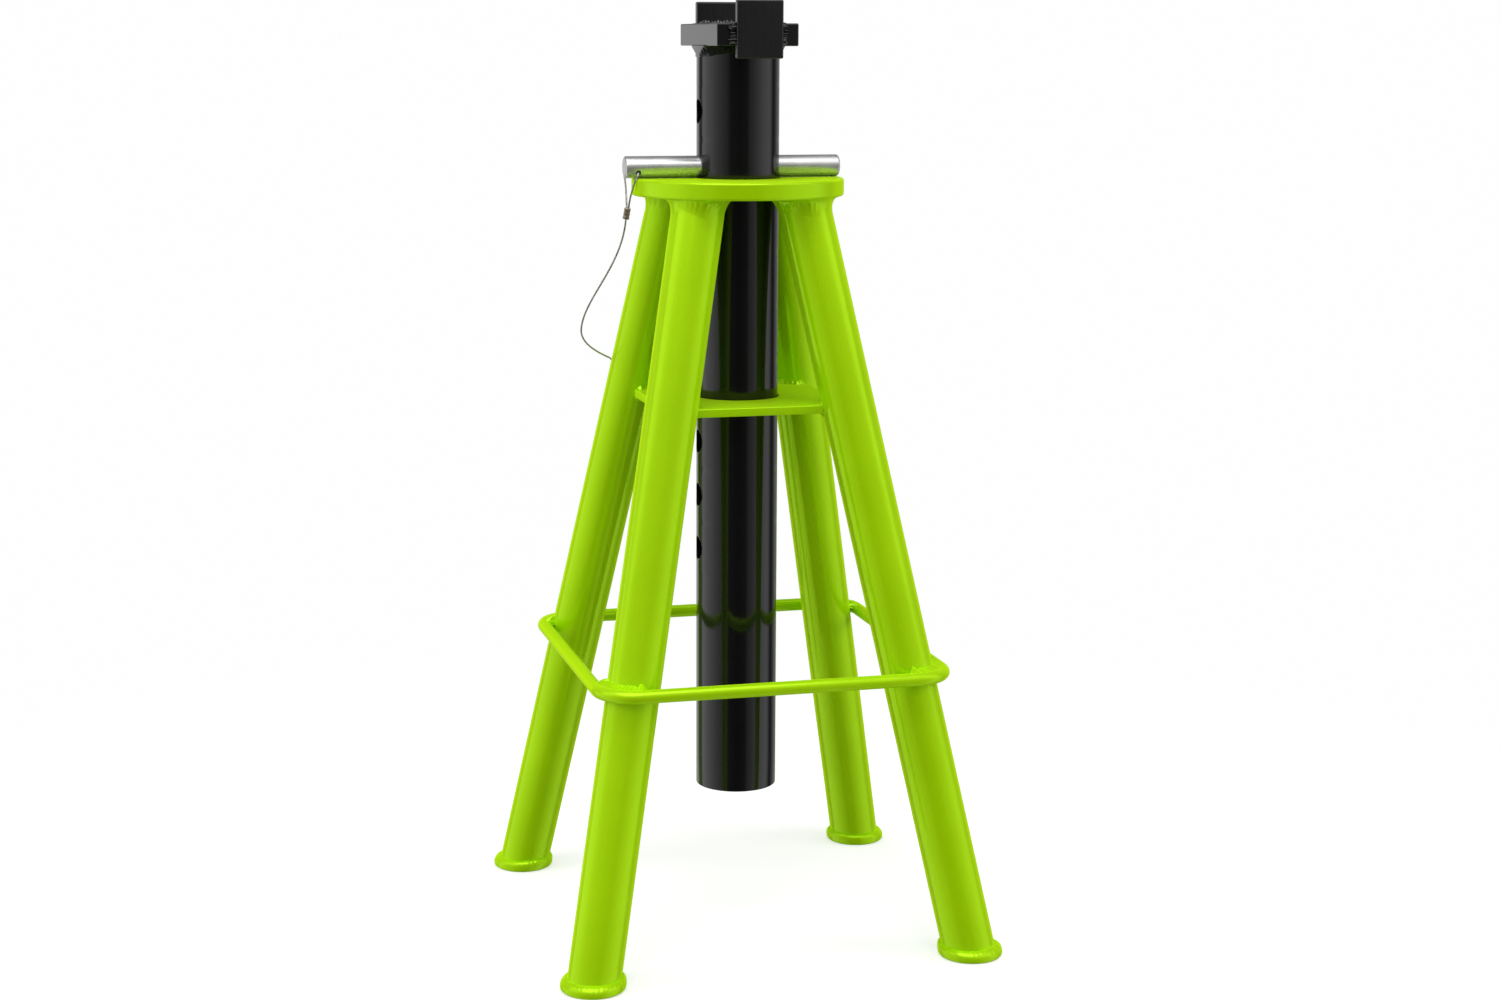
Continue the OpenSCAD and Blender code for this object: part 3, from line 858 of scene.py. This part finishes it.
def post_shape():
    """A tube drilled through along X, its holes met by rings of quads, every edge rounded."""
    hole_edge, hole_inner_edge = 0.7 * MM, 0.4 * MM
    end_edge, end_inner_edge = 0.9 * MM, 0.6 * MM
    half = PITCH / 2
    half_turn = half / POST_R  # each hole sits in a patch one pitch square
    side_count = 16
    top = HOLE_Z + half
    bottom = HOLE_Z - (HOLES - 1) * PITCH - half
    across = np.linspace(-half_turn, half_turn, side_count + 1)
    up = np.linspace(-half, half, side_count + 1)
    between = np.linspace(half_turn, math.pi - half_turn, 35)
    ring = np.concatenate([across[:-1], between[:-1], math.pi + across[:-1],
                           math.pi + between[:-1], [across[0] + TAU]])
    # border of a patch, closed: (turn, height), and its bearings from the hole's centre
    border = ([(a, -half) for a in across[:-1]] + [(half_turn, z) for z in up[:-1]]
              + [(a, half) for a in across[::-1][:-1]] + [(-half_turn, z) for z in up[::-1][:-1]])
    border += border[:1]
    bearings = [math.atan2(z, POST_R * a) for a, z in border]
    holes = [(side, HOLE_Z - k * PITCH) for side in (0.0, math.pi) for k in range(HOLES)]
    parts = []

    def sheet(rows):
        parts.append(skin(rows, closed_cols=False))

    def at(turn, z, radius):
        return radius * math.cos(turn), radius * math.sin(turn), z

    for radius, edge, end in ((POST_R, hole_edge, end_edge),
                              (POST_INNER_R, hole_inner_edge, end_inner_edge)):
        # plain strips between the two rows of holes
        heights = np.linspace(bottom, top, HOLES * side_count + 1)
        for side in (0.0, math.pi):
            sheet([[at(side + a, z, radius) for z in heights] for a in between])
        # plain bands below and above the holes
        for z0, z1 in ((POST_Z0 + end, bottom), (top, POST_Z1 - end)):
            sheet([[at(a, z, radius) for a in ring] for z in np.linspace(z0, z1, 8)])
        # patches, from the hole's edge out to the border
        for side, hole_z in holes:
            rows = []
            for s in (0.0, 0.08, 0.2, 0.4, 0.65, 1.0):
                row = []
                for (a, z), bearing in zip(border, bearings):
                    edge_a = math.asin((HOLE_R + edge) * math.cos(bearing) / radius)
                    edge_z = (HOLE_R + edge) * math.sin(bearing)
                    row.append(at(side + edge_a + (a - edge_a) * s,
                                  hole_z + edge_z + (z - edge_z) * s, radius))
                rows.append(row)
            sheet(rows)

    quarter = np.linspace(0, math.pi / 2, 5)
    # hole walls: (tube radius, hole radius, shift in X)
    walls = [(POST_R, HOLE_R + hole_edge * (1 - math.sin(a)), -hole_edge * (1 - math.cos(a)))
             for a in quarter]
    walls += [(POST_INNER_R, HOLE_R + hole_inner_edge * (1 - math.sin(a)),
               hole_inner_edge * (1 - math.cos(a))) for a in quarter[::-1]]
    for side, hole_z in holes:
        rows = []
        for radius, hole_r, shift in walls:
            row = []
            for bearing in bearings:
                y = hole_r * math.cos(bearing)
                x = math.sqrt(radius ** 2 - y ** 2) + shift
                row.append((x * math.cos(side) - y * math.sin(side),
                            x * math.sin(side) + y * math.cos(side),
                            hole_z + hole_r * math.sin(bearing)))
            rows.append(row)
        sheet(rows)
    # rounded ends
    for end_z, inward in ((POST_Z0, 1), (POST_Z1, -1)):
        profile = [(POST_R - end_edge * (1 - math.cos(a)),
                    end_z + inward * end_edge * (1 - math.sin(a))) for a in quarter]
        profile += [(POST_INNER_R + end_inner_edge * (1 - math.cos(a)),
                     end_z + inward * end_inner_edge * (1 - math.sin(a))) for a in quarter[::-1]]
        sheet([[at(a, z, radius) for a in ring] for radius, z in profile])
    return join(parts)


def saddle():
    """The flat bar on the post and a lip at its front and rear."""
    for node, radius, finish in (("saddle_bar", 1.3 * MM, BLACK),
                                 ("saddle_lip_front", 1.6 * MM, SATIN),
                                 ("saddle_lip_rear", 1.6 * MM, SATIN)):
        lo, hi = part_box(node)
        obj = make(node + "_painted", block(lo, hi, radius), node, angle=80, **finish)
        normals = obj.modifiers.new("normals", "WEIGHTED_NORMAL")
        normals.mode = "FACE_AREA"
        normals.weight = 80
        normals.keep_sharp = True


def saddle_post_fillet():
    """A weld between post and bar, cut off almost level with the bar's sides."""
    turn = around(260)
    swell, lump = wave(turn, 200, n=4, lo=2, hi=7), wave(turn, 201, n=7, lo=8, hi=26)
    out = np.stack([np.cos(turn), np.sin(turn), 0 * turn], 1)
    height = (5.8 + 3.8 * np.cos(turn) ** 2 + 0.8 * swell + 0.4 * lump) * MM
    width = (7.6 + 0.8 * swell + 0.5 * lump) * MM
    controls = (out * (POST_R - 0.1 * MM) + UP * (POST_Z1 - height)[:, None],
                out * (POST_R + 2.4 * MM) + UP * (POST_Z1 - 2.8 * MM),
                out * (POST_R + width)[:, None] + UP * (POST_Z1 + 0.3 * MM))
    section = flare(controls, out, turn * POST_R, pitch=5.0 * MM, ripple=0.35 * MM)
    limit = BAR_HI.x + 0.9 * MM
    x = section[..., 0]
    squeezed = np.sign(x) * (limit + 0.08 * (np.abs(x) - limit))
    section[..., 0] = np.where(np.abs(x) > limit, squeezed, x)
    buried = out * (POST_R - 2 * MM) + UP * (POST_Z1 + 0.8 * MM)
    make("saddle_post_fillet", weld(section, buried), "saddle_post_weld", angle=50, **BLACK_WELD)


def saddle_lip_beads():
    """Rough beads up both sides of each lip and across the bar's top."""
    parts = []
    for k, (node, side_y) in enumerate((("saddle_lip_front", -1), ("saddle_lip_rear", 1))):
        lo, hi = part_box(node)
        y_in = hi.y if side_y < 0 else lo.y
        for end_x, side_x in ((lo.x, -1), (hi.x, 1)):
            x, y = end_x + side_x * 0.9 * MM, y_in + side_y * 0.6 * MM
            parts.append(bead((x, y, BAR_LO.z + 0.8 * MM), (x, y, BAR_HI.z + 0.9 * MM),
                              5.2 * MM, seed=300 + 10 * k + side_x))
        y, z = y_in + side_y * 0.2 * MM, BAR_HI.z + 0.2 * MM
        parts.append(bead((lo.x + 1.0 * MM, y, z), (hi.x - 1.0 * MM, y, z),
                          3.7 * MM, seed=340 + k, n=100))
    make("saddle_lip_beads", join(parts), "saddle_lip_welds", angle=60, **BLACK)


# ------------------------------------------------------------------ pin

# the hole for the lanyard, across the pin near its left end, rising to the rear
TIE_RISE = math.radians(29)
TIE_DIR = np.array([0, math.cos(TIE_RISE), math.sin(TIE_RISE)])
TIE_CENTRE = PIN_LEVEL + np.array([PIN_X0 + 11.5 * MM, 0, 0])
TIE_R = 2.5 * MM


def locking_pin():
    edge = 1.9 * MM
    flat = PIN_R - edge
    profile = ([(0, PIN_X0), (flat - 0.3 * MM, PIN_X0)]
               + corner(flat, PIN_X0 + edge, edge, -90, 0, 8)
               + corner(flat, PIN_X1 - edge, edge, 0, 90, 8)
               + [(flat - 0.3 * MM, PIN_X1), (0, PIN_X1)])
    shape = lathe(support(profile, closed=False), 128, PIN_LEVEL, along_x=True)
    pin = make("locking_pin_polished", shape, "locking_pin", **STEEL)

    path = TIE_CENTRE + TIE_DIR * np.linspace(-15 * MM, 15 * MM, 7)[:, None]
    verts, faces = rod(path, TIE_R, 40)
    mesh = bpy.data.meshes.new("cutter")
    mesh.from_pydata([tuple(v) for v in verts], [], faces)
    cutter = link_object("cutter", mesh)
    bm = bmesh.new()
    bm.from_mesh(mesh)
    bmesh.ops.recalc_face_normals(bm, faces=bm.faces)
    bm.to_mesh(mesh)
    bm.free()
    cut = pin.modifiers.new("tie_hole", "BOOLEAN")
    cut.operation, cut.object, cut.solver = "DIFFERENCE", cutter, "EXACT"
    bpy.context.view_layer.update()
    depsgraph = bpy.context.evaluated_depsgraph_get()
    drilled = bpy.data.meshes.new_from_object(pin.evaluated_get(depsgraph))
    pin.modifiers.clear()
    pin.data = drilled
    bpy.data.objects.remove(cutter)
    shade(drilled, 32)


# ------------------------------------------------------------------ lanyard

# the ferrule below the pin
ferrule_lo, ferrule_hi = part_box("lanyard_pin_ferrule")
FERRULE_HALF = mm(0.8, -0.6, 5)
PIN_FERRULE_TOP = np.array((ferrule_lo + ferrule_hi) / 2) + FERRULE_HALF
PIN_FERRULE_LOW = PIN_FERRULE_TOP - 2 * FERRULE_HALF

# the eye on the rear left leg: outward direction, centre, and the run of its wire
EYE_RING_R = 5 * MM
EYE_OUT = unit(np.array([0.3, 0.95, 0]))
EYE_CENTRE = REAR_LEFT.axis(521 * MM) + EYE_OUT * (REAR_LEFT.radius + 5.3 * MM)
EYE_LIMB = EYE_CENTRE + EYE_OUT * EYE_RING_R
EYE_WIRE = unit(np.array([-0.98, -0.12, 0.10]))
EYE_FERRULE_NEAR = EYE_LIMB + EYE_WIRE * 12 * MM
EYE_FERRULE_FAR = EYE_LIMB + EYE_WIRE * 22 * MM


def pin_loop():
    """Wire from the ferrule up through the pin's hole and back, and its ferrule."""
    top = PIN_FERRULE_TOP
    front = TIE_CENTRE - TIE_DIR * (PIN_R + 1.2 * MM)
    back = TIE_CENTRE + TIE_DIR * (PIN_R + 1.2 * MM)
    low = PIN_LEVEL + mm(-104.2, 11, -10)
    path = chain(
        (30, (top + mm(0.9, 0.2, -1), top + mm(1.2, -1, 10),
              front + mm(-5.3, -6, -6.8), front + mm(-0.2, -0.2, 0))),
        (16, (front, front + mm(0, 2.5, 1.4), back - mm(0, 2.5, 1.4), back)),
        (30, (back, back + mm(-1, 6, 3), PIN_LEVEL + mm(-105, 17, -2), low)),
        (30, (low, PIN_LEVEL + mm(-103.8, 7.5, -16),
              top + mm(-0.9, 1.5, 12), top + mm(-0.9, -0.2, -1))))
    make("lanyard_pin_strands", rope(path), "lanyard_pin_loop", body="pin", **WIRE)
    sleeve = crimp(top, PIN_FERRULE_LOW, seed=401, side=np.array([0.97, -0.25, 0]))
    make("lanyard_pin_crimp", sleeve, "lanyard_pin_ferrule", body="pin", **FERRULE)


def anchor():
    """The eye with its weld to the leg, the wire loop through it and the loop's ferrule."""
    ring = [EYE_CENTRE + EYE_RING_R * (math.cos(a) * EYE_OUT + math.sin(a) * UP)
            for a in around(48)]
    foot = EYE_CENTRE - EYE_OUT * 5.2 * MM
    rise = UP * 6.0 * MM
    parts = [rod(ring, 2 * MM, closed=True), bead(foot - rise, foot + rise, 2.6 * MM, seed=410, n=40)]
    make("lanyard_anchor_ring", join(parts), "lanyard_anchor_eye", merge=0, **GREEN)
    sleeve = crimp(EYE_FERRULE_FAR, EYE_FERRULE_NEAR, seed=402, side=EYE_OUT)
    make("lanyard_anchor_crimp", sleeve, "lanyard_anchor_ferrule", body="base", **FERRULE)

    def from_limb(wire, out):
        return EYE_LIMB + EYE_WIRE * wire * MM + EYE_OUT * out * MM

    def from_ferrule(wire, out):
        return EYE_FERRULE_NEAR + EYE_WIRE * wire * MM + EYE_OUT * out * MM

    path = chain(
        (16, (from_ferrule(1, -0.9), from_ferrule(-4, -1.5), from_limb(6, -4), from_limb(0, -4))),
        (16, (from_limb(0, -4), from_limb(-5.4, -4), from_limb(-5.4, 4), from_limb(0, 4))),
        (16, (from_limb(0, 4), from_limb(6, 4), from_ferrule(-4, 1.5), from_ferrule(1, 0.9))))
    make("lanyard_anchor_strands", rope(path), "lanyard_anchor_loop", body="base", **WIRE)


def lanyard_cable():
    """The slack wire between the ferrule below the pin and the one at the eye."""
    sag = mm(-138, 50, 562)
    turn_in = mm(-104, 91, 529.5)
    low, far = PIN_FERRULE_LOW, EYE_FERRULE_FAR
    path = chain(
        (90, (low + mm(0.1, -0.1, 0.8), low + mm(-1.5, 8, -44), mm(-137, 40, 592), sag)),
        (60, (sag, mm(-138.4, 54, 549), mm(-121, 74, 538), turn_in)),
        (30, (turn_in, mm(-97, 98, 526), far + EYE_WIRE * 9 * MM, far - EYE_WIRE * 0.8 * MM)))
    cable = make("lanyard_strands", rope(path), "lanyard_cable", **WIRE)
    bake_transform(cable)


top_plate()
legs()
foot_pads()
foot_beads()
leg_top_fillets()
guide_plate()
guide_plate_beads()
hoop()
hoop_beads()
make("post_painted", post_shape(), "post_tube", merge=2e-6, **BLACK)
saddle()
saddle_post_fillet()
saddle_lip_beads()
locking_pin()
pin_loop()
anchor()
lanyard_cable()

# ------------------------------------------------------------------ floor

YAW = Matrix.Rotation(math.radians(-14.60), 3, "Z")  # turns the view about the stand
TO_CAMERA = YAW @ Vector((0, -1, 0))
CAMERA_RIGHT = YAW @ Vector((1, 0, 0))
WHITE = (0.995, 0.995, 0.995)


def floor_material():
    """Lit near the stand, fading to plain white. Brightness differs for the camera's own rays."""
    material = bpy.data.materials.new("floor")
    material.use_nodes = True
    s = Shader(material.node_tree)
    output = s.node("OutputMaterial")
    seen = s.node("LightPath").outputs["Is Camera Ray"]
    diffuse = s.node("BsdfDiffuse")
    s.feed(s.mix(seen, (0.45, 0.45, 0.45), (0.60, 0.60, 0.60)), diffuse.inputs[0])
    glow = s.node("Emission")
    s.feed(s.mix(seen, (0.0, 0.0, 0.0), (0.52, 0.52, 0.52)), glow.inputs[0])
    near = s.node("AddShader")
    s.feed(diffuse.outputs[0], near.inputs[0])
    s.feed(glow.outputs[0], near.inputs[1])
    far = s.node("Emission")
    s.feed(s.mix(seen, (0.42, 0.42, 0.42), WHITE), far.inputs[0])
    coords = s.node("TexCoord")
    distance = s.node("VectorMath")
    distance.operation = "LENGTH"
    s.feed(coords.outputs["Object"], distance.inputs[0])
    fade = s.remap(distance.outputs["Value"], span=(0.25, 1.1), smooth=True)
    blend = s.node("MixShader")
    for socket, value in zip(blend.inputs, (fade, near.outputs[0], far.outputs[0])):
        s.feed(value, socket)
    s.feed(blend.outputs[0], output.inputs[0])
    return material


bm = bmesh.new()
bmesh.ops.create_circle(bm, cap_ends=True, radius=14.0, segments=96)
floor_mesh = bpy.data.meshes.new("floor")
bm.to_mesh(floor_mesh)
bm.free()
floor = link_object("floor", floor_mesh)
floor_mesh.materials.append(floor_material())
floor.visible_glossy = False

# ------------------------------------------------------------------ surroundings

# (degrees, brightness) for reflections, by bearing from the camera, positive to its right
BAND = [(-180, 0.70), (-151, 0.80), (-145, 0.95), (-138, 0.48), (-130, 0.14), (-123, 0.10),
        (-119, 0.48), (-112, 1.25), (-99, 1.22), (-76, 0.97), (-53, 0.60), (-28, 0.27),
        (-21, 0.08), (4, 0.04), (25, 0.08), (29, 0.15), (34, 0.32), (41, 0.38), (53, 0.58),
        (76, 1.00), (95, 1.04), (101, 0.86), (107, 0.46), (113, 0.10), (120, 0.08),
        (128, 0.22), (138, 0.36), (158, 0.50), (170, 0.62), (180, 0.70)]
# and overhead, by height: 0 the camera's side, 90 straight up, 180 behind the stand
OVERHEAD = [(-180, 0.5), (-90, 0.3), (0, 0.32), (14, 0.38), (24, 0.55), (34, 0.98), (44, 1.30),
            (88, 1.30), (97, 0.85), (108, 0.50), (122, 0.28), (150, 0.22), (172, 0.35), (180, 0.5)]
# light on matt surfaces, by bearing, and from above
SOFT = [(-180, 0.72), (-100, 0.98), (-55, 0.93), (0, 0.42), (55, 0.90), (100, 0.95), (180, 0.72)]
SKY = (0.70, 0.70, 0.70)


def build_world():
    world = bpy.data.worlds.new("studio")
    bpy.context.scene.world = world
    world.use_nodes = True
    s = Shader(world.node_tree)
    output = s.node("OutputWorld")
    background = s.node("Background")
    s.feed(background.outputs[0], output.inputs[0])
    coords = s.node("TexCoord")
    direction = s.node("SeparateXYZ")
    s.feed(coords.outputs["Generated"], direction.inputs[0])
    x, y, z = direction.outputs

    def along(v):
        return s.math("ADD", s.math("MULTIPLY", x, v.x), s.math("MULTIPLY", y, v.y))

    def by_angle(across, up, stops):
        """Brightness by the angle of (across, up)."""
        angle = s.math("ARCTAN2", up, across)
        turn = s.math("ADD", s.math("DIVIDE", angle, TAU), 0.5)
        return s.ramp(turn, [((degrees + 180) / 360, level) for degrees, level in stops])

    front, side = along(TO_CAMERA), along(CAMERA_RIGHT)
    band = by_angle(front, side, BAND)
    overhead = by_angle(front, z, OVERHEAD)
    glossy = s.mix(s.remap(z, span=(0.0, 0.24), smooth=True), band, overhead)
    soft = by_angle(front, side, SOFT)
    diffuse = s.mix(s.remap(z, span=(-0.1, 0.9)), soft, SKY)
    rays = s.node("LightPath")
    light = s.mix(rays.outputs["Is Diffuse Ray"], glossy, diffuse)
    s.feed(s.mix(rays.outputs["Is Camera Ray"], light, WHITE), background.inputs[0])


def area_light(name, azimuth, elevation, distance, size, power):
    """A soft disc light aimed at the stand. Azimuth runs from the camera to its right."""
    aim = Vector((0, 0, 0.4))
    light = bpy.data.lights.new(name, "AREA")
    light.shape, light.size, light.energy = "DISK", size, power
    obj = bpy.data.objects.new(name, light)
    level = Matrix.Rotation(math.radians(azimuth), 3, "Z") @ TO_CAMERA
    height = math.radians(elevation)
    obj.location = aim + distance * (level * math.cos(height) + Vector((0, 0, math.sin(height))))
    obj.rotation_mode = "QUATERNION"
    obj.rotation_quaternion = (obj.location - aim).to_track_quat("Z", "Y")
    bpy.context.scene.collection.objects.link(obj)
    return obj


build_world()
key = area_light("key", azimuth=-75, elevation=24, distance=3.0, size=1.4, power=22)
fill = area_light("fill", azimuth=78, elevation=22, distance=3.2, size=1.6, power=20)
spark = area_light("spark", azimuth=-12, elevation=60, distance=2.4, size=2.8, power=46)
front_light = area_light("front", azimuth=-8, elevation=76, distance=2.6, size=0.8, power=15)
for lamp in (key, fill, front_light):
    lamp.visible_glossy = False
spark.visible_diffuse = False  # only makes highlights

# ------------------------------------------------------------------ camera

CAMERA_PLACE = Vector((-10.22 * MM, -2320.12 * MM, 825.68 * MM))  # before the yaw
LOOK_DOWN, ROLL = math.radians(10.55), math.radians(0.15)

camera_data = bpy.data.cameras.new("camera")
camera_data.sensor_width = 36.0
camera_data.sensor_fit = "HORIZONTAL"
camera_data.lens = 59.98296
camera_data.shift_x = 0.01618
camera_data.shift_y = 0.005626667
camera_data.clip_start, camera_data.clip_end = 0.05, 100
camera = link_object("camera", camera_data)
aim = (YAW @ Matrix.Rotation(math.pi / 2 - LOOK_DOWN, 3, "X") @ Matrix.Rotation(ROLL, 3, "Z"))
camera.matrix_world = Matrix.Translation(YAW @ CAMERA_PLACE) @ aim.to_4x4()
scene = bpy.context.scene
scene.camera = camera
scene.view_settings.view_transform = "Standard"
scene.view_settings.look = "None"

bpy.context.view_layer.update()
